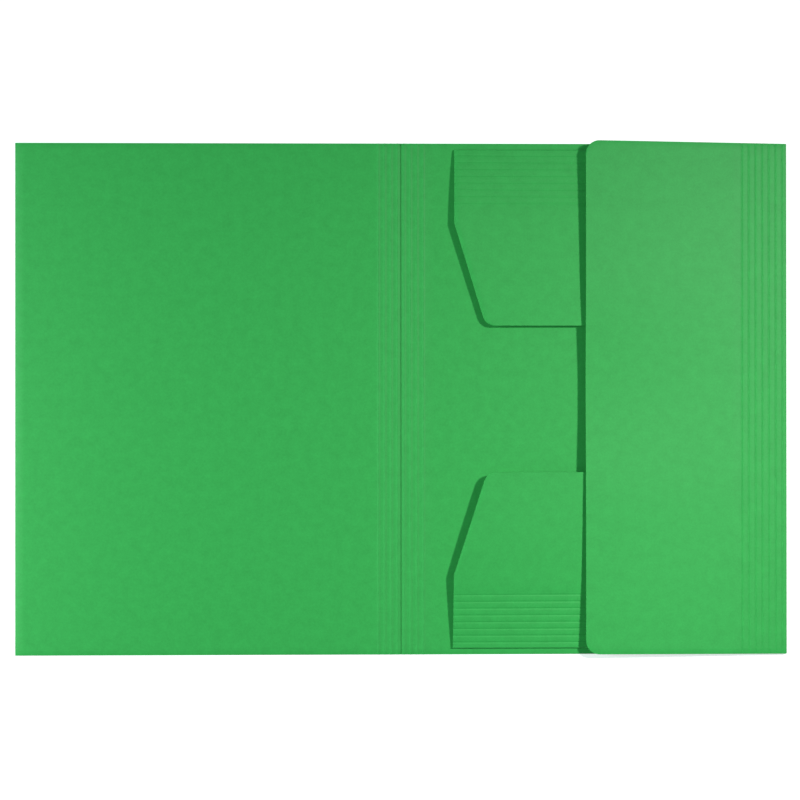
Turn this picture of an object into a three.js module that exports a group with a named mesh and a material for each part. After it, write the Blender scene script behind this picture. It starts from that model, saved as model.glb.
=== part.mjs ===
// A three flap folder for A4 sheets, made of coloured card and lying open with its inner side up.
// Millimetres, +Z up. The spine fold runs along Y; the front cover lies towards -X, the back panel towards +X.
// The side flap is folded over from the panel's far edge. The top and bottom flaps are cut separately, and
// each is glued to the panel by a tab that lies hidden under it. Every flap springs up a little from its fold.
import * as THREE from "three";

// The card
const CARD_THICKNESS = 0.45;
const CARD_COLOUR = 0x42b75f;
const CARD_ROUGHNESS = 0.85;

// The folded body: cover, panel and side flap
const COVER_WIDTH = 240.7;
const PANEL_WIDTH = 242.2;
const FOLDER_HEIGHT = 320;
const SIDE_FLAP_DEPTH = 127.2;
const SIDE_CORNER_RADIUS = 8.5;

// Creases are pressed from the outer face: a groove there, and a bead on the inner face
const SPINE_CREASES_EACH_SIDE = { count: 4, first: 2.1, pitch: 4, width: 3, depth: 0.11 };
const SIDE_CREASES = { count: 7, first: 3, pitch: 4.28, width: 1.5, depth: 0.28 };
const END_CREASES = { count: 8, first: 3.8, pitch: 4.28, width: 1.8, depth: 0.24 };
const SPINE_FOLD_WIDTH = 0.7;
const SPINE_FOLD_DEPTH = 0.28;

// How the side flap stands when nothing holds it down
const SIDE_CLEARANCE = 0.2;
const SIDE_SPRING = 3.2;
const SIDE_TILT = 0.8;
const SIDE_DIP = 2.2;
const SIDE_DIP_REACH = 75;
const SIDE_DIP_CENTRE = 5;
const SIDE_SKEW = 0.0073;

// The top and bottom flaps, which share one outline
const END_FOLD_INSET = 3.9;
const END_FLAP_DEPTH = 110.4;
const END_FLAP_STRAIGHT = 46.5;
const END_FLAP_SLANT = 20;
const END_CORNER_RADIUS = 8;
const END_TO_SIDE_FOLD = 12;
const END_GAP_AT_SPINE = 1.1;
const END_GAP_AT_SIDE = 0.5;
const TAB_WIDTH = 15;
const TAB_TAPER = 6;

// Each flap's distance from the spine, how far it is folded askew, and how it rises: lift along its free edge
// and bulge between fold and edge, both fading towards the side flap that lies over it
const TOP_FLAP = {
  direction: 1,
  fromSpine: 33.4,
  skew: -0.005,
  lift: 3,
  liftFade: 3,
  bulge: 2.4,
  bulgeFade: 4,
  bulgeLean: 0.75,
};
const BOTTOM_FLAP = {
  direction: -1,
  fromSpine: 32.3,
  skew: 0.0105,
  lift: 6.3,
  liftFade: 1.24,
  bulge: 2.2,
  bulgeFade: 1.5,
  bulgeLean: 1,
};

// How finely the curves are cut into facets
const BEND_STEPS = 8;
const CORNER_STEPS = 5;
const RISE_STEPS = 6;
const BODY_STEPS = 10;
const END_FLAP_STEPS = 8;

const halfCard = CARD_THICKNESS / 2;
const panelTop = CARD_THICKNESS;
const endFoldY = FOLDER_HEIGHT / 2 - END_FOLD_INSET;
const endFlapEnd = PANEL_WIDTH - END_TO_SIDE_FOLD;

// The thickest the folded end flap is beside the side fold sets the room inside that fold
const sideFoldGap = 2 * CARD_THICKNESS + END_GAP_AT_SIDE + SIDE_CLEARANCE;
const sideBendRadius = (sideFoldGap + CARD_THICKNESS) / 2;
const sideBendDepth = sideBendRadius + halfCard;

// A smooth hump of height 1 and the given full width, centred on 0
function hump(offset, width) {
  const share = Math.abs(offset) / (width / 2);
  return share < 1 ? Math.cos((share * Math.PI) / 2) ** 2 : 0;
}

function creasePlaces(row) {
  return Array.from({ length: row.count }, (_, number) => row.first + number * row.pitch);
}

// How far a row of creases presses the card towards its inner face at one distance
function pressAt(distance, row) {
  const humps = creasePlaces(row).map((place) => row.depth * hump(distance - place, row.width));
  return humps.reduce((sum, height) => sum + height, 0);
}

// Where a crease needs stations so that its round section shows
function creaseMarks(places, width) {
  return places.flatMap((place) => [-0.5, -0.25, 0, 0.25, 0.5].map((share) => place + share * width));
}

// Distances along a sheet in order, from low to high, with no two closer than a hundredth of a millimetre
function inOrder(low, high, marks) {
  const inside = marks.filter((mark) => mark > low + 0.01 && mark < high - 0.01);
  const sorted = [low, ...inside.sort((a, b) => a - b), high];
  return sorted.filter((mark, index) => index === 0 || mark - sorted[index - 1] > 0.01);
}

function evenMarks(low, high, steps) {
  return Array.from({ length: steps - 1 }, (_, number) => low + ((high - low) * (number + 1)) / steps);
}

// Distances at which a rounded corner that ends at a free edge is cut into facets
function cornerMarks(edge, radius) {
  return Array.from({ length: CORNER_STEPS }, (_, number) => {
    const angle = (Math.PI / 2) * (number / CORNER_STEPS);
    return edge - radius + radius * Math.sin(angle);
  });
}

// How far a corner's arc lies from the circle's outermost point, for a distance past the circle's centre
function arcInset(past, radius) {
  return past > 0 ? radius - Math.sqrt(Math.max(radius * radius - past * past, 0)) : 0;
}

// A folded sheet of card. Each station is a line across the sheet, from low to high, whose at() gives the
// middle of the card and the direction of its inner face. Press moves both faces, crush the inner face alone.
function sheetGeometry(stations, steps) {
  const positions = [];
  for (const station of stations) {
    for (let step = 0; step <= steps; step += 1) {
      const { middle, inward } = station.at(THREE.MathUtils.lerp(station.low, station.high, step / steps));
      const inner = middle.clone().addScaledVector(inward, halfCard + station.press - station.crush);
      const outer = middle.clone().addScaledVector(inward, -halfCard + station.press);
      positions.push(...inner, ...outer);
    }
  }
  const last = stations.length - 1;
  const inner = (row, step) => 2 * (row * (steps + 1) + step);
  const outer = (row, step) => inner(row, step) + 1;
  const indices = [];
  const quad = (a, b, c, d) => indices.push(a, b, c, a, c, d);
  for (let row = 0; row < last; row += 1) {
    for (let step = 0; step < steps; step += 1) {
      quad(inner(row, step), inner(row + 1, step), inner(row + 1, step + 1), inner(row, step + 1));
      quad(outer(row, step), outer(row, step + 1), outer(row + 1, step + 1), outer(row + 1, step));
    }
    quad(inner(row, 0), outer(row, 0), outer(row + 1, 0), inner(row + 1, 0));
    quad(inner(row, steps), inner(row + 1, steps), outer(row + 1, steps), outer(row, steps));
  }
  for (let step = 0; step < steps; step += 1) {
    quad(inner(0, step), inner(0, step + 1), outer(0, step + 1), outer(0, step));
    quad(inner(last, step), outer(last, step), outer(last, step + 1), inner(last, step + 1));
  }
  const geometry = new THREE.BufferGeometry();
  geometry.setAttribute("position", new THREE.Float32BufferAttribute(positions, 3));
  geometry.setIndex(indices);
  return geometry;
}

// Turns every triangle of a sheet that was built as a mirror image, so that its faces point outwards
function turnedInsideOut(geometry) {
  const turned = geometry.clone();
  turned.setIndex(Array.from(geometry.index.array).reverse());
  return turned;
}

// 1 beside the spine, falling to 0 at the end of the flap beside the side fold
function shareAlong(flap, x) {
  return THREE.MathUtils.clamp((x - flap.fromSpine) / (endFlapEnd - flap.fromSpine), 0, 1);
}

function endFoldGap(flap, x) {
  return THREE.MathUtils.lerp(END_GAP_AT_SPINE, END_GAP_AT_SIDE, shareAlong(flap, x));
}

function endBendRadius(flap, x) {
  return (endFoldGap(flap, x) + CARD_THICKNESS) / 2;
}

// How far the middle of an end flap's card stands above the end of its bend, at a reach from the fold
function endRise(flap, x, reach) {
  const along = shareAlong(flap, x);
  const start = endBendRadius(flap, x) + halfCard;
  const outward = THREE.MathUtils.clamp((reach - start) / (END_FLAP_DEPTH - start), 0, 1);
  const lift = flap.lift * (1 - along ** flap.liftFade);
  const bulge = flap.bulge * (1 - along) ** flap.bulgeFade;
  return lift * outward + bulge * Math.sin(Math.PI * outward ** flap.bulgeLean);
}

// Height of an end flap's upper face above the panel
function endFlapHeight(flap, x, reach) {
  return 2 * CARD_THICKNESS + endFoldGap(flap, x) + endRise(flap, x, reach);
}

// The side flap's free edge stands this far above the end of its bend, clear of the flaps beneath it
const sideEdgeX = PANEL_WIDTH - SIDE_FLAP_DEPTH;
const highestBeneath = Math.max(
  ...[TOP_FLAP, BOTTOM_FLAP].map((flap) => endFlapHeight(flap, sideEdgeX, END_FLAP_DEPTH)),
);
const sideRise = highestBeneath + SIDE_SPRING - sideFoldGap - CARD_THICKNESS;

function sideSlope(y) {
  const tilt = (SIDE_TILT * y) / (FOLDER_HEIGHT / 2);
  const dip = SIDE_DIP * hump(y - SIDE_DIP_CENTRE, 2 * SIDE_DIP_REACH);
  return (sideRise + tilt - dip) / (SIDE_FLAP_DEPTH - sideBendDepth);
}

// The cover, the creased spine and the panel, flat on the table
function flatStations() {
  const rightPlaces = creasePlaces(SPINE_CREASES_EACH_SIDE);
  const places = [...rightPlaces.map((place) => -place), ...rightPlaces];
  const marks = [
    ...creaseMarks(places, SPINE_CREASES_EACH_SIDE.width),
    ...creaseMarks([0], SPINE_FOLD_WIDTH),
  ];
  return inOrder(-COVER_WIDTH, PANEL_WIDTH - sideBendDepth, marks).map((x) => ({
    low: -FOLDER_HEIGHT / 2,
    high: FOLDER_HEIGHT / 2,
    press: pressAt(Math.abs(x), SPINE_CREASES_EACH_SIDE),
    crush: SPINE_FOLD_DEPTH * hump(x, SPINE_FOLD_WIDTH),
    at: (y) => ({ middle: new THREE.Vector3(x, y, halfCard), inward: new THREE.Vector3(0, 0, 1) }),
  }));
}

// The bend at the panel's far edge
function sideBendStations() {
  return evenMarks(0, Math.PI, BEND_STEPS).map((turn) => {
    const inward = new THREE.Vector3(-Math.sin(turn), 0, Math.cos(turn));
    const centre = new THREE.Vector3(PANEL_WIDTH - sideBendDepth, 0, halfCard + sideBendRadius);
    return {
      low: -FOLDER_HEIGHT / 2,
      high: FOLDER_HEIGHT / 2,
      press: 0,
      crush: 0,
      at: (y) => ({
        middle: centre.clone().addScaledVector(inward, -sideBendRadius).setY(y),
        inward,
      }),
    };
  });
}

// The side flap, which rises from its bend and is folded a little askew
function sideFlapStations() {
  const places = creasePlaces(SIDE_CREASES);
  const marks = [
    ...creaseMarks(places, SIDE_CREASES.width),
    ...evenMarks(places.at(-1), SIDE_FLAP_DEPTH - SIDE_CORNER_RADIUS, RISE_STEPS),
    ...cornerMarks(SIDE_FLAP_DEPTH, SIDE_CORNER_RADIUS),
  ];
  return inOrder(sideBendDepth, SIDE_FLAP_DEPTH, marks).map((reach) => {
    const past = reach - (SIDE_FLAP_DEPTH - SIDE_CORNER_RADIUS);
    const halfHeight = FOLDER_HEIGHT / 2 - arcInset(past, SIDE_CORNER_RADIUS);
    return {
      low: -halfHeight,
      high: halfHeight,
      press: pressAt(reach, SIDE_CREASES),
      crush: 0,
      at: (y) => {
        const slope = sideSlope(y);
        const travelled = reach - sideBendDepth;
        const height = halfCard + 2 * sideBendRadius + slope * travelled;
        return {
          middle: new THREE.Vector3(PANEL_WIDTH - reach, y + SIDE_SKEW * travelled, height),
          inward: new THREE.Vector3(-slope, 0, -1).normalize(),
        };
      },
    };
  });
}

function folderBody() {
  return sheetGeometry([...flatStations(), ...sideBendStations(), ...sideFlapStations()], BODY_STEPS);
}

// The flap's edge on the spine's side: straight, then slanting to a rounded corner
function spineSideEdge(flap, reach) {
  const slant = END_FLAP_SLANT / (END_FLAP_DEPTH - END_FLAP_STRAIGHT);
  const slantLength = Math.hypot(1, slant);
  const arcCentre = END_FLAP_DEPTH - END_CORNER_RADIUS;
  const arcStart = arcCentre + (END_CORNER_RADIUS * slant) / slantLength;
  if (reach <= END_FLAP_STRAIGHT) {
    return flap.fromSpine;
  }
  if (reach <= arcStart) {
    return flap.fromSpine + slant * (reach - END_FLAP_STRAIGHT);
  }
  const centreX =
    flap.fromSpine + slant * (arcCentre - END_FLAP_STRAIGHT) + END_CORNER_RADIUS * slantLength;
  return centreX - END_CORNER_RADIUS + arcInset(reach - arcCentre, END_CORNER_RADIUS);
}

function sideFoldEdge(reach) {
  return endFlapEnd - arcInset(reach - (END_FLAP_DEPTH - END_CORNER_RADIUS), END_CORNER_RADIUS);
}

// The tab, glued flat on the panel, from its narrow end out to the bend
function tabStations(flap) {
  return [1, 0].map((share) => ({
    low: flap.fromSpine + TAB_TAPER * share,
    high: endFlapEnd - TAB_TAPER * share,
    press: 0,
    crush: 0,
    at: (x) => {
      const start = endBendRadius(flap, x) + halfCard;
      const reach = THREE.MathUtils.lerp(start, TAB_WIDTH, share);
      return {
        middle: new THREE.Vector3(x, flap.direction * (endFoldY - reach), panelTop + halfCard),
        inward: new THREE.Vector3(0, 0, 1),
      };
    },
  }));
}

// The bend of an end flap, tighter where the side flap holds it down
function endBendStations(flap) {
  return evenMarks(0, Math.PI, BEND_STEPS).map((turn) => ({
    low: flap.fromSpine,
    high: endFlapEnd,
    press: 0,
    crush: 0,
    at: (x) => {
      const radius = endBendRadius(flap, x);
      const inward = new THREE.Vector3(0, -flap.direction * Math.sin(turn), Math.cos(turn));
      const centreY = flap.direction * (endFoldY - halfCard - radius);
      const centre = new THREE.Vector3(x, centreY, panelTop + halfCard + radius);
      return { middle: centre.addScaledVector(inward, -radius), inward };
    },
  }));
}

// The flap itself, from its bend to its free edge
function endFlapStations(flap) {
  const places = creasePlaces(END_CREASES);
  const marks = [
    ...creaseMarks(places, END_CREASES.width),
    ...evenMarks(places.at(-1), END_FLAP_STRAIGHT, 2),
    END_FLAP_STRAIGHT,
    ...evenMarks(END_FLAP_STRAIGHT, END_FLAP_DEPTH - END_CORNER_RADIUS, RISE_STEPS),
    ...cornerMarks(END_FLAP_DEPTH, END_CORNER_RADIUS),
  ];
  const firstReach = endBendRadius(flap, flap.fromSpine) + halfCard;
  return inOrder(firstReach, END_FLAP_DEPTH, marks).map((reach, index) => ({
    low: spineSideEdge(flap, reach),
    high: sideFoldEdge(reach),
    press: pressAt(reach, END_CREASES),
    crush: 0,
    at: (x) => {
      const start = endBendRadius(flap, x) + halfCard;
      const distance = index === 0 ? start : reach;
      const slope = endRise(flap, x, distance + 0.5) - endRise(flap, x, distance - 0.5);
      const height = panelTop + halfCard + 2 * endBendRadius(flap, x) + endRise(flap, x, distance);
      const y = flap.direction * (endFoldY - distance);
      return {
        middle: new THREE.Vector3(x + flap.skew * (distance - start), y, height),
        inward: new THREE.Vector3(0, -flap.direction * slope, -1).normalize(),
      };
    },
  }));
}

function endFlap(flap) {
  const stations = [...tabStations(flap), ...endBendStations(flap), ...endFlapStations(flap)];
  const geometry = sheetGeometry(stations, END_FLAP_STEPS);
  return flap.direction > 0 ? turnedInsideOut(geometry) : geometry;
}

function cardMesh(name, geometry) {
  const facets = geometry.toNonIndexed();
  facets.computeVertexNormals();
  const material = new THREE.MeshStandardMaterial({
    color: CARD_COLOUR,
    roughness: CARD_ROUGHNESS,
    metalness: 0,
  });
  const mesh = new THREE.Mesh(facets, material);
  mesh.name = name;
  return mesh;
}

const sheets = new THREE.Group();
sheets.add(cardMesh("folder_body", folderBody()));
sheets.add(cardMesh("top_flap", endFlap(TOP_FLAP)));
sheets.add(cardMesh("bottom_flap", endFlap(BOTTOM_FLAP)));

// The origin is the middle of the underside
const box = new THREE.Box3().setFromObject(sheets);
const centre = box.getCenter(new THREE.Vector3());
sheets.position.set(-centre.x, -centre.y, -box.min.z);

const folder = new THREE.Group();
folder.add(sheets);

export default folder;
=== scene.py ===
"""A three flap folder of green card, open on a white table and seen from straight above.

The three sheets are modelled again with fine bends, creases and cut edges, in the places of
their CAD nodes.
"""

import math

import bpy
import numpy as np
from mathutils import Euler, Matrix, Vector


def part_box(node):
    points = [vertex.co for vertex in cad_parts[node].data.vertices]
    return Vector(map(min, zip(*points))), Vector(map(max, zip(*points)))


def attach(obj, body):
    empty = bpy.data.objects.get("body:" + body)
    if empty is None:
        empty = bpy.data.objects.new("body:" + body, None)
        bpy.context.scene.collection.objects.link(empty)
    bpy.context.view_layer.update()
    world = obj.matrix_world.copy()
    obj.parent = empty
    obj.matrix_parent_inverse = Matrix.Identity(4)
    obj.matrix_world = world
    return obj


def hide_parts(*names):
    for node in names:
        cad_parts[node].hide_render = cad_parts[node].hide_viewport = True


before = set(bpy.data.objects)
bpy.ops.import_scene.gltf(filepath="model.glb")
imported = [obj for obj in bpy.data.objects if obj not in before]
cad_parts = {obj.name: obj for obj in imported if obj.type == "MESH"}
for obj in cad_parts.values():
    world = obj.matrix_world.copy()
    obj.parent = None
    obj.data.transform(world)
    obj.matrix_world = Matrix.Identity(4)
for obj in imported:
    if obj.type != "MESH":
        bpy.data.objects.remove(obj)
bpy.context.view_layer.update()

MM = 0.001
BODY = "root"

# The card and its creases, pressed from the outer face
CARD = 0.45 * MM
SPINE_CREASES = {
    "count": 4,
    "first": 2.1 * MM,
    "pitch": 4.0 * MM,
    "width": 2.6 * MM,
    "depth": 0.28 * MM,
}
SIDE_CREASES = {
    "count": 7,
    "first": 3.0 * MM,
    "pitch": 4.28 * MM,
    "width": 1.5 * MM,
    "depth": 0.23 * MM,
}
TOP_CREASES = {
    "count": 8,
    "first": 3.8 * MM,
    "pitch": 4.28 * MM,
    "width": 1.8 * MM,
    "depth": 0.14 * MM,
}
BOTTOM_CREASES = {**TOP_CREASES, "depth": 0.21 * MM}
SPINE_FOLD_WIDTH = 0.7 * MM
SPINE_FOLD_DEPTH = 0.4 * MM

# Sizes along X are from the spine fold, and the body's node box says where that is
COVER_WIDTH = 240.7 * MM
PANEL_EDGE = 242.2 * MM
FOLDER_HEIGHT = 320 * MM
HALF_HEIGHT = FOLDER_HEIGHT / 2
body_low, body_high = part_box("folder_body")
SPINE_AT = np.array([body_high.x - PANEL_EDGE, body_low.y + HALF_HEIGHT, 0])

# The side flap is folded askew, springs up, stands higher at its top end and dips in its middle
SIDE_DEPTH = 127.2 * MM
SIDE_CORNER_RADIUS = 8.5 * MM
SIDE_SKEW = 0.0073
SIDE_TILT = 0.8 * MM
SIDE_DIP = 2.2 * MM
SIDE_DIP_REACH = 75 * MM
SIDE_DIP_CENTRE = 5 * MM
SIDE_CLEARANCE = 0.2 * MM
SIDE_SPRING = 3.2 * MM

# The top and bottom flaps share one outline. Each rises by a lift along its free edge and a bulge
# between fold and edge, and both fade towards the side flap
END_INSET = 3.9 * MM
END_DEPTH = 110.4 * MM
END_STRAIGHT = 46.5 * MM
END_SLANT = 20 * MM
END_CORNER_RADIUS = 8 * MM
END_TO_SIDE_FOLD = 12 * MM
END_GAP_AT_SPINE = 1.1 * MM
END_GAP_AT_SIDE = 0.5 * MM
TAB_WIDTH = 15 * MM
TAB_TAPER = 6 * MM
TOP_FLAP = {
    "direction": 1,
    "creases": TOP_CREASES,
    "from_spine": 33.4 * MM,
    "skew": -0.005,
    "lift": 3 * MM,
    "lift_fade": 3,
    "bulge": 2.4 * MM,
    "bulge_fade": 4,
    "bulge_lean": 0.75,
}
BOTTOM_FLAP = {
    "direction": -1,
    "creases": BOTTOM_CREASES,
    "from_spine": 32.3 * MM,
    "skew": 0.0105,
    "lift": 6.3 * MM,
    "lift_fade": 1.24,
    "bulge": 2.2 * MM,
    "bulge_fade": 1.5,
    "bulge_lean": 1,
}

# How finely the sheets are divided
CREASE_STEPS = 8
BEND_STEPS = 20
CORNER_STEPS = 14
TAB_STEPS = 4
COARSE = 6 * MM
ACROSS = 4 * MM
SAME_PLACE = 1e-5
SLOPE_STEP = MM

# The rounding of the cut edges
EDGE_ROUNDING = 0.07 * MM
EDGE_SEGMENTS = 2
EDGE_ANGLE = 50

# The card's surface
CARD_ROUGHNESS = 0.55
CARD_SPECULAR = 0.35
CLOUDS = {"scale": 160, "detail": 3, "roughness": 0.5}
FIBRES = {"scale": 900, "detail": 5, "roughness": 0.65}
FIBRE_SHARE = 0.58
DARKER_GREEN = (0.037, 0.420, 0.078, 1)
LIGHTER_GREEN = (0.047, 0.518, 0.100, 1)
DARKER_AT = 0.3
LIGHTER_AT = 0.7
# Painted shade in the spine fold: the share of the colour left at the fold line, and how far the
# painted shade reaches
PAINTED_FOLD_SHADE = 0.62
PAINTED_FOLD_SHADE_REACH = 0.45 * MM
TOOTH_STRENGTH = 0.12
TOOTH_DEPTH = 0.05 * MM

# The camera looks straight down from about a metre; turns are in degrees
LENS = 72
CAMERA_AT = (-0.01821, -0.00374, 1.00244)
CAMERA_TURN = (0.151, -0.963, -0.04)

# Round lamps, in metres, watts and degrees
LAMPS = {
    "key": {
        "at": (0.64, 0.25, 0.875),
        "towards": (0.15, -0.15, 0),
        "size": 0.1,
        "power": 1.18,
        "spread": 70,
        "colour": (1, 1, 1),
    },
    "left_fill": {
        "at": (-0.9, 0.02, 0.8),
        "towards": (-0.1, -0.1, 0),
        "size": 0.4,
        "power": 6.3,
        "spread": 180,
        "colour": (0.72, 1, 0.97),
    },
    "low_left": {
        "at": (-0.592, -0.13, 0.165),
        "towards": (-0.1, -0.05, 0),
        "size": 0.25,
        "power": 0.95,
        "spread": 180,
        "colour": (1, 0.9, 0.9),
    },
}
WORLD_COLOUR = (0.6, 1, 0.99, 1)
WORLD_STRENGTH = 0.1

# The table, just under the folder
FLOOR_HALF = 20.0
FLOOR_HEIGHT = -0.0002
FLOOR_COLOUR = (0.8, 0.8, 0.8, 1)
FLOOR_ROUGHNESS = 0.9
FLOOR_GLOW = 0.6


def hump(offset, width):
    """A smooth hump of height 1 and the given full width, centred on 0."""
    share = np.clip(np.abs(offset) / (width / 2), 0, 1)
    return np.cos(share * math.pi / 2) ** 2


def crease_places(row):
    return [row["first"] + number * row["pitch"] for number in range(row["count"])]


def press_at(distance, row):
    """How far a row of creases presses the card towards its inner face."""
    humps = (row["depth"] * hump(distance - place, row["width"]) for place in crease_places(row))
    return float(sum(humps))


def crease_marks(places, width):
    shares = np.linspace(-0.5, 0.5, CREASE_STEPS + 1)
    return [place + share * width for place in places for share in shares]


def corner_marks(edge, radius):
    angles = np.linspace(0, math.pi / 2, CORNER_STEPS, endpoint=False)
    return [edge - radius + radius * math.sin(angle) for angle in angles]


def in_order(low, high, marks):
    """Distances from low to high, through the marks, with no gap wider than COARSE."""
    inside = sorted(mark for mark in marks if low + SAME_PLACE < mark < high - SAME_PLACE)
    found = [low]
    for mark in [*inside, high]:
        if mark - found[-1] < SAME_PLACE:
            continue
        steps = max(1, math.ceil((mark - found[-1]) / COARSE))
        found += [found[-1] + (mark - found[-1]) * (n + 1) / steps for n in range(steps)]
    return found


def arc_inset(past, radius):
    """How far a rounded corner's arc lies inside the outline, past the circle's centre."""
    past = max(past, 0)
    return radius - math.sqrt(max(radius * radius - past * past, 0))


def station(low, high, at, press=0.0, crush=0.0):
    """A line across a sheet, from low to high.

    at gives the middle of the card and the way to its inner face, press moves both faces
    towards the inner side, and crush sinks the inner face alone.
    """
    return {"low": low, "high": high, "at": at, "press": press, "crush": crush}


def sheet_points(stations, steps):
    """An inner and an outer point for each step across each station."""
    share = np.linspace(0, 1, steps + 1)
    rows = []
    for s in stations:
        across = s["low"] + (s["high"] - s["low"]) * share
        middle, inward = s["at"](across)
        inward = inward / np.linalg.norm(inward, axis=1, keepdims=True)
        inner = middle + inward * (CARD / 2 + s["press"] - s["crush"])
        outer = middle - inward * (CARD / 2 - s["press"])
        rows.append(np.stack([inner, outer], axis=1))
    return np.concatenate(rows).reshape(-1, 3) + SPINE_AT


def sheet_faces(last, steps):
    """The faces of both sides and of the four edges, for stations 0 to last."""

    def inner(row, step):
        return 2 * (row * (steps + 1) + step)

    def outer(row, step):
        return inner(row, step) + 1

    faces = []
    for row in range(last):
        below = row + 1
        for step in range(steps):
            after = step + 1
            faces += [
                (inner(row, step), inner(below, step), inner(below, after), inner(row, after)),
                (outer(row, step), outer(row, after), outer(below, after), outer(below, step)),
            ]
        faces += [
            (inner(row, 0), outer(row, 0), outer(below, 0), inner(below, 0)),
            (inner(row, steps), inner(below, steps), outer(below, steps), outer(row, steps)),
        ]
    for step in range(steps):
        after = step + 1
        faces += [
            (inner(0, step), inner(0, after), outer(0, after), outer(0, step)),
            (inner(last, step), outer(last, step), outer(last, after), inner(last, after)),
        ]
    return faces


def add_object(name, data):
    made = bpy.data.objects.new(name, data)
    bpy.context.scene.collection.objects.link(made)
    return made


def sheet_object(name, stations, steps, mirrored=False):
    """A closed sheet of card through its stations, with its cut edges rounded."""
    faces = sheet_faces(len(stations) - 1, steps)
    if mirrored:
        faces = [face[::-1] for face in faces]
    mesh = bpy.data.meshes.new(name)
    mesh.from_pydata(sheet_points(stations, steps).tolist(), [], faces)
    mesh.validate()
    mesh.shade_smooth()
    made = add_object(name, mesh)
    rounding = made.modifiers.new("cut_edges", "BEVEL")
    rounding.width = EDGE_ROUNDING
    rounding.segments = EDGE_SEGMENTS
    rounding.limit_method = "ANGLE"
    rounding.angle_limit = math.radians(EDGE_ANGLE)
    rounding.use_clamp_overlap = True
    return made


def vectors(x, y, z):
    """Rows of x, y, z, each a number or a row of numbers."""
    return np.stack(np.broadcast_arrays(*np.atleast_1d(x, y, z)), axis=1).astype(float)


# Where an end flap stops beside the side fold, and the middle of the card of a tab on the panel
END_STOP = PANEL_EDGE - END_TO_SIDE_FOLD
TAB_MIDDLE = CARD * 1.5


def share_along(flap, x):
    """0 beside the spine and 1 at the end of the flap beside the side fold."""
    return np.clip((x - flap["from_spine"]) / (END_STOP - flap["from_spine"]), 0, 1)


def end_gap(flap, x):
    """The room inside an end flap's fold."""
    return END_GAP_AT_SPINE + (END_GAP_AT_SIDE - END_GAP_AT_SPINE) * share_along(flap, x)


def end_radius(flap, x):
    return (end_gap(flap, x) + CARD) / 2


def end_start(flap, x):
    """How far from its fold an end flap's bend ends."""
    return end_radius(flap, x) + CARD / 2


def end_rise(flap, x, reach):
    """Height of the middle of an end flap's card above the end of its bend."""
    along = share_along(flap, x)
    start = end_start(flap, x)
    outward = np.clip((reach - start) / (END_DEPTH - start), 0, 1)
    lift = flap["lift"] * (1 - along ** flap["lift_fade"])
    bulge = flap["bulge"] * (1 - along) ** flap["bulge_fade"]
    return lift * outward + bulge * np.sin(math.pi * outward ** flap["bulge_lean"])


# The side fold has room for a folded end flap, and the side flap springs clear of both of them
SIDE_EDGE_X = PANEL_EDGE - SIDE_DEPTH
SIDE_GAP = 2 * CARD + END_GAP_AT_SIDE + SIDE_CLEARANCE
SIDE_RADIUS = (SIDE_GAP + CARD) / 2
SIDE_BEND_DEPTH = SIDE_RADIUS + CARD / 2
HIGHEST_BENEATH = max(
    float(2 * CARD + end_gap(flap, SIDE_EDGE_X) + end_rise(flap, SIDE_EDGE_X, END_DEPTH))
    for flap in (TOP_FLAP, BOTTOM_FLAP)
)
SIDE_RISE = HIGHEST_BENEATH + SIDE_SPRING - SIDE_GAP - CARD


def side_slope(y):
    tilt = SIDE_TILT * y / HALF_HEIGHT
    dip = SIDE_DIP * hump(y - SIDE_DIP_CENTRE, 2 * SIDE_DIP_REACH)
    return (SIDE_RISE + tilt - dip) / (SIDE_DEPTH - SIDE_BEND_DEPTH)


def flat_stations():
    """The cover, the creased spine and the panel."""
    right = crease_places(SPINE_CREASES)
    both = [-place for place in right] + right
    marks = crease_marks(both, SPINE_CREASES["width"]) + crease_marks([0.0], SPINE_FOLD_WIDTH)

    def at_x(x):
        return lambda y: (vectors(x, y, CARD / 2), vectors(0 * y, 0, 1))

    made = []
    for x in in_order(-COVER_WIDTH, PANEL_EDGE - SIDE_BEND_DEPTH, marks):
        press = press_at(abs(x), SPINE_CREASES)
        crush = float(SPINE_FOLD_DEPTH * hump(x, SPINE_FOLD_WIDTH))
        made.append(station(-HALF_HEIGHT, HALF_HEIGHT, at_x(x), press, crush))
    return made


def side_bend_stations():
    """The bend at the panel's far edge."""

    def at_turn(turn):
        x = PANEL_EDGE - SIDE_BEND_DEPTH + SIDE_RADIUS * math.sin(turn)
        z = CARD / 2 + SIDE_RADIUS * (1 - math.cos(turn))
        inward = (-math.sin(turn), math.cos(turn))
        return lambda y: (vectors(x, y, z), vectors(0 * y + inward[0], 0, inward[1]))

    turns = np.linspace(0, math.pi, BEND_STEPS + 1)[1:-1]
    return [station(-HALF_HEIGHT, HALF_HEIGHT, at_turn(turn)) for turn in turns]


def side_flap_stations():
    """The side flap, which rises from its bend and is folded a little askew."""

    def at_reach(reach):
        def at(y):
            slope = side_slope(y)
            travelled = reach - SIDE_BEND_DEPTH
            z = CARD / 2 + 2 * SIDE_RADIUS + slope * travelled
            middle = vectors(PANEL_EDGE - reach, y + SIDE_SKEW * travelled, z)
            return middle, vectors(-slope, 0, -1)

        return at

    marks = crease_marks(crease_places(SIDE_CREASES), SIDE_CREASES["width"])
    marks += corner_marks(SIDE_DEPTH, SIDE_CORNER_RADIUS)
    made = []
    for reach in in_order(SIDE_BEND_DEPTH, SIDE_DEPTH, marks):
        inset = arc_inset(reach - (SIDE_DEPTH - SIDE_CORNER_RADIUS), SIDE_CORNER_RADIUS)
        half = HALF_HEIGHT - inset
        made.append(station(-half, half, at_reach(reach), press_at(reach, SIDE_CREASES)))
    return made


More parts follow.
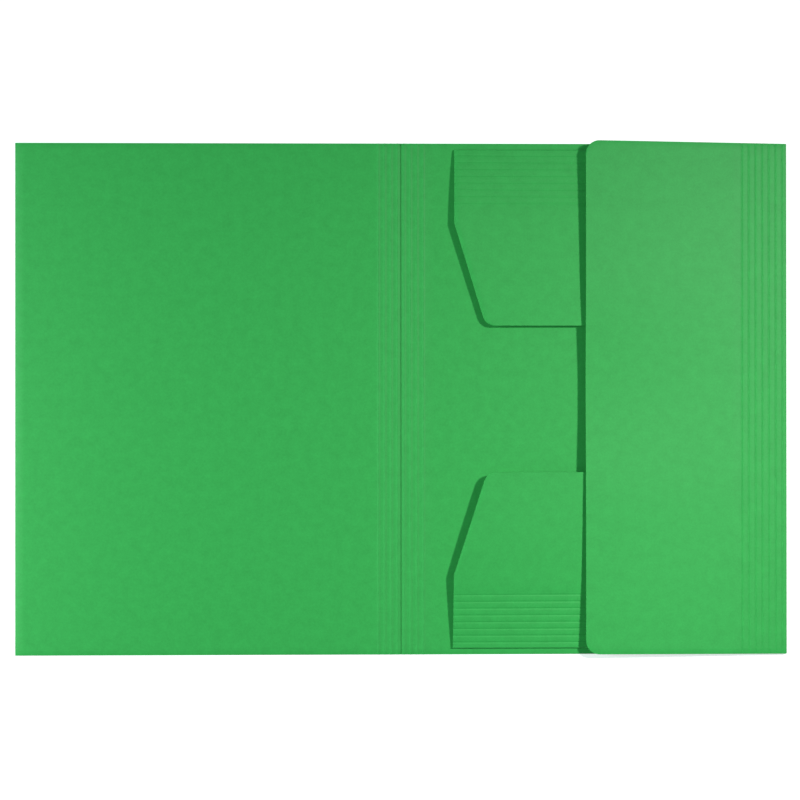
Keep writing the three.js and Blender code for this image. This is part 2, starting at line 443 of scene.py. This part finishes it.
def spine_side_edge(flap, reach):
    """The flap's edge on the spine's side: straight, then slanting to a rounded corner."""
    slant = END_SLANT / (END_DEPTH - END_STRAIGHT)
    slant_length = math.hypot(1, slant)
    arc_centre = END_DEPTH - END_CORNER_RADIUS
    if reach <= END_STRAIGHT:
        return flap["from_spine"]
    if reach <= arc_centre + END_CORNER_RADIUS * slant / slant_length:
        return flap["from_spine"] + slant * (reach - END_STRAIGHT)
    slanted = flap["from_spine"] + slant * (arc_centre - END_STRAIGHT)
    centre = slanted + END_CORNER_RADIUS * slant_length
    return centre - END_CORNER_RADIUS + arc_inset(reach - arc_centre, END_CORNER_RADIUS)


def side_fold_edge(reach):
    inset = arc_inset(reach - (END_DEPTH - END_CORNER_RADIUS), END_CORNER_RADIUS)
    return END_STOP - inset


def end_flap_stations(flap):
    """An end flap from its glued tab, round its bend and out to its free edge."""
    direction = flap["direction"]
    fold = HALF_HEIGHT - END_INSET

    def on_tab(share):
        def at(x):
            start = end_start(flap, x)
            reach = start + (TAB_WIDTH - start) * share
            return vectors(x, direction * (fold - reach), TAB_MIDDLE), vectors(0 * x, 0, 1)

        return at

    def on_bend(turn):
        def at(x):
            radius = end_radius(flap, x)
            y = fold - CARD / 2 - radius + radius * math.sin(turn)
            z = TAB_MIDDLE + radius * (1 - math.cos(turn))
            inward = vectors(0 * x, -direction * math.sin(turn), math.cos(turn))
            return vectors(x, direction * y, z), inward

        return at

    def on_flap(reach, first):
        def at(x):
            start = end_start(flap, x)
            distance = start if first else reach
            before = end_rise(flap, x, distance - SLOPE_STEP / 2)
            beyond = end_rise(flap, x, distance + SLOPE_STEP / 2)
            slope = (beyond - before) / SLOPE_STEP
            y = direction * (fold - distance)
            z = TAB_MIDDLE + 2 * end_radius(flap, x) + end_rise(flap, x, distance)
            middle = vectors(x + flap["skew"] * (distance - start), y, z)
            return middle, vectors(0 * x, -direction * slope, -1)

        return at

    left, right = flap["from_spine"], END_STOP
    stations = []
    for number in range(TAB_STEPS + 1):
        share = 1 - number / TAB_STEPS
        taper = TAB_TAPER * share
        stations.append(station(left + taper, right - taper, on_tab(share)))
    turns = np.linspace(0, math.pi, BEND_STEPS + 1)[1:-1]
    stations += [station(left, right, on_bend(turn)) for turn in turns]
    creases = flap["creases"]
    marks = crease_marks(crease_places(creases), creases["width"])
    marks += [END_STRAIGHT, *corner_marks(END_DEPTH, END_CORNER_RADIUS)]
    for number, reach in enumerate(in_order(float(end_start(flap, left)), END_DEPTH, marks)):
        edges = spine_side_edge(flap, reach), side_fold_edge(reach)
        stations.append(station(*edges, on_flap(reach, number == 0), press_at(reach, creases)))
    return stations


def card_material():
    """Matt dyed card: fine fibres, faint clouds, a soft tooth, and painted shade along the spine
    fold.
    """
    material = bpy.data.materials.new("green_card")
    material.use_nodes = True
    nodes, links = material.node_tree.nodes, material.node_tree.links
    shader = nodes["Principled BSDF"]
    shader.inputs["Roughness"].default_value = CARD_ROUGHNESS
    shader.inputs["Specular IOR Level"].default_value = CARD_SPECULAR
    place = nodes.new("ShaderNodeTexCoord")

    def noise(scale, detail, roughness):
        made = nodes.new("ShaderNodeTexNoise")
        made.inputs["Scale"].default_value = scale
        made.inputs["Detail"].default_value = detail
        made.inputs["Roughness"].default_value = roughness
        links.new(place.outputs["Object"], made.inputs["Vector"])
        return made

    # The green, between a darker and a lighter one
    clouds = noise(**CLOUDS)
    fibres = noise(**FIBRES)
    mixed = nodes.new("ShaderNodeMix")
    mixed.data_type = "FLOAT"
    mixed.inputs["Factor"].default_value = FIBRE_SHARE
    links.new(clouds.outputs["Fac"], mixed.inputs[2])
    links.new(fibres.outputs["Fac"], mixed.inputs[3])
    ramp = nodes.new("ShaderNodeValToRGB")
    darker, lighter = ramp.color_ramp.elements
    darker.position, darker.color = DARKER_AT, DARKER_GREEN
    lighter.position, lighter.color = LIGHTER_AT, LIGHTER_GREEN
    links.new(mixed.outputs[0], ramp.inputs["Fac"])

    # Painted shade along the spine fold: the colour is darkened near the fold line, by the distance
    # from it
    split = nodes.new("ShaderNodeSeparateXYZ")
    links.new(place.outputs["Object"], split.inputs["Vector"])
    from_fold = nodes.new("ShaderNodeMath")
    from_fold.operation = "SUBTRACT"
    from_fold.inputs[1].default_value = float(SPINE_AT[0])
    links.new(split.outputs["X"], from_fold.inputs[0])
    distance = nodes.new("ShaderNodeMath")
    distance.operation = "ABSOLUTE"
    links.new(from_fold.outputs[0], distance.inputs[0])
    painted_shade = nodes.new("ShaderNodeMapRange")
    painted_shade.inputs["From Max"].default_value = PAINTED_FOLD_SHADE_REACH
    painted_shade.inputs["To Min"].default_value = PAINTED_FOLD_SHADE
    painted_shade.inputs["To Max"].default_value = 1.0
    links.new(distance.outputs[0], painted_shade.inputs["Value"])
    painted_shade_colour = nodes.new("ShaderNodeVectorMath")
    painted_shade_colour.operation = "SCALE"
    links.new(ramp.outputs["Color"], painted_shade_colour.inputs[0])
    links.new(painted_shade.outputs["Result"], painted_shade_colour.inputs["Scale"])
    links.new(painted_shade_colour.outputs["Vector"], shader.inputs["Base Color"])

    # The tooth
    bump = nodes.new("ShaderNodeBump")
    bump.inputs["Strength"].default_value = TOOTH_STRENGTH
    bump.inputs["Distance"].default_value = TOOTH_DEPTH
    links.new(fibres.outputs["Fac"], bump.inputs["Height"])
    links.new(bump.outputs["Normal"], shader.inputs["Normal"])
    return material


def dress(piece, node, material):
    piece.data.materials.append(material)
    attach(piece, BODY)
    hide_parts(node)


def make_folder():
    material = card_material()
    body = sheet_object(
        "card_body",
        flat_stations() + side_bend_stations() + side_flap_stations(),
        round(FOLDER_HEIGHT / ACROSS),
    )
    dress(body, "folder_body", material)
    for name, node, flap in (
        ("card_top_flap", "top_flap", TOP_FLAP),
        ("card_bottom_flap", "bottom_flap", BOTTOM_FLAP),
    ):
        steps = round((END_STOP - flap["from_spine"]) / ACROSS)
        piece = sheet_object(name, end_flap_stations(flap), steps, flap["direction"] > 0)
        dress(piece, node, material)


def make_camera():
    data = bpy.data.cameras.new("camera")
    data.lens = LENS
    camera = add_object("camera", data)
    camera.location = CAMERA_AT
    camera.rotation_euler = Euler([math.radians(turn) for turn in CAMERA_TURN], "XYZ")
    bpy.context.scene.camera = camera


def area_lamp(name, at, towards, size, power, spread, colour):
    data = bpy.data.lights.new(name, "AREA")
    data.shape = "DISK"
    data.size = size
    data.energy = power
    data.color = colour
    data.spread = math.radians(spread)
    lamp = add_object(name, data)
    lamp.location = at
    direction = Vector(towards) - Vector(at)
    lamp.rotation_euler = direction.to_track_quat("-Z", "Y").to_euler()


def make_lights():
    for name, settings in LAMPS.items():
        area_lamp(name, **settings)
    world = bpy.data.worlds.new("studio")
    bpy.context.scene.world = world
    world.use_nodes = True
    background = world.node_tree.nodes["Background"]
    background.inputs["Color"].default_value = WORLD_COLOUR
    background.inputs["Strength"].default_value = WORLD_STRENGTH


def make_floor():
    """A pale table that looks white, with the folder's soft shadow on it."""
    signs = ((-1, -1), (1, -1), (1, 1), (-1, 1))
    corners = [(x * FLOOR_HALF, y * FLOOR_HALF, FLOOR_HEIGHT) for x, y in signs]
    mesh = bpy.data.meshes.new("table")
    mesh.from_pydata(corners, [], [(0, 1, 2, 3)])
    floor = add_object("table", mesh)
    material = bpy.data.materials.new("table")
    material.use_nodes = True
    nodes, links = material.node_tree.nodes, material.node_tree.links
    shader = nodes["Principled BSDF"]
    shader.inputs["Base Color"].default_value = FLOOR_COLOUR
    shader.inputs["Roughness"].default_value = FLOOR_ROUGHNESS

    # The glow is seen directly, in gloss and through what is clear, but lights nothing
    glow = nodes.new("ShaderNodeEmission")
    glow.inputs["Strength"].default_value = FLOOR_GLOW
    path = nodes.new("ShaderNodeLightPath")
    seen = path.outputs["Is Camera Ray"]
    for ray in ("Is Glossy Ray", "Is Transmission Ray"):
        either = nodes.new("ShaderNodeMath")
        either.operation = "MAXIMUM"
        links.new(seen, either.inputs[0])
        links.new(path.outputs[ray], either.inputs[1])
        seen = either.outputs[0]
    added = nodes.new("ShaderNodeAddShader")
    mixed = nodes.new("ShaderNodeMixShader")
    links.new(shader.outputs["BSDF"], added.inputs[0])
    links.new(glow.outputs["Emission"], added.inputs[1])
    links.new(seen, mixed.inputs["Fac"])
    links.new(shader.outputs["BSDF"], mixed.inputs[1])
    links.new(added.outputs["Shader"], mixed.inputs[2])
    links.new(mixed.outputs["Shader"], nodes["Material Output"].inputs["Surface"])
    mesh.materials.append(material)


bpy.context.scene.view_settings.view_transform = "Standard"
make_folder()
make_camera()
make_lights()
make_floor()
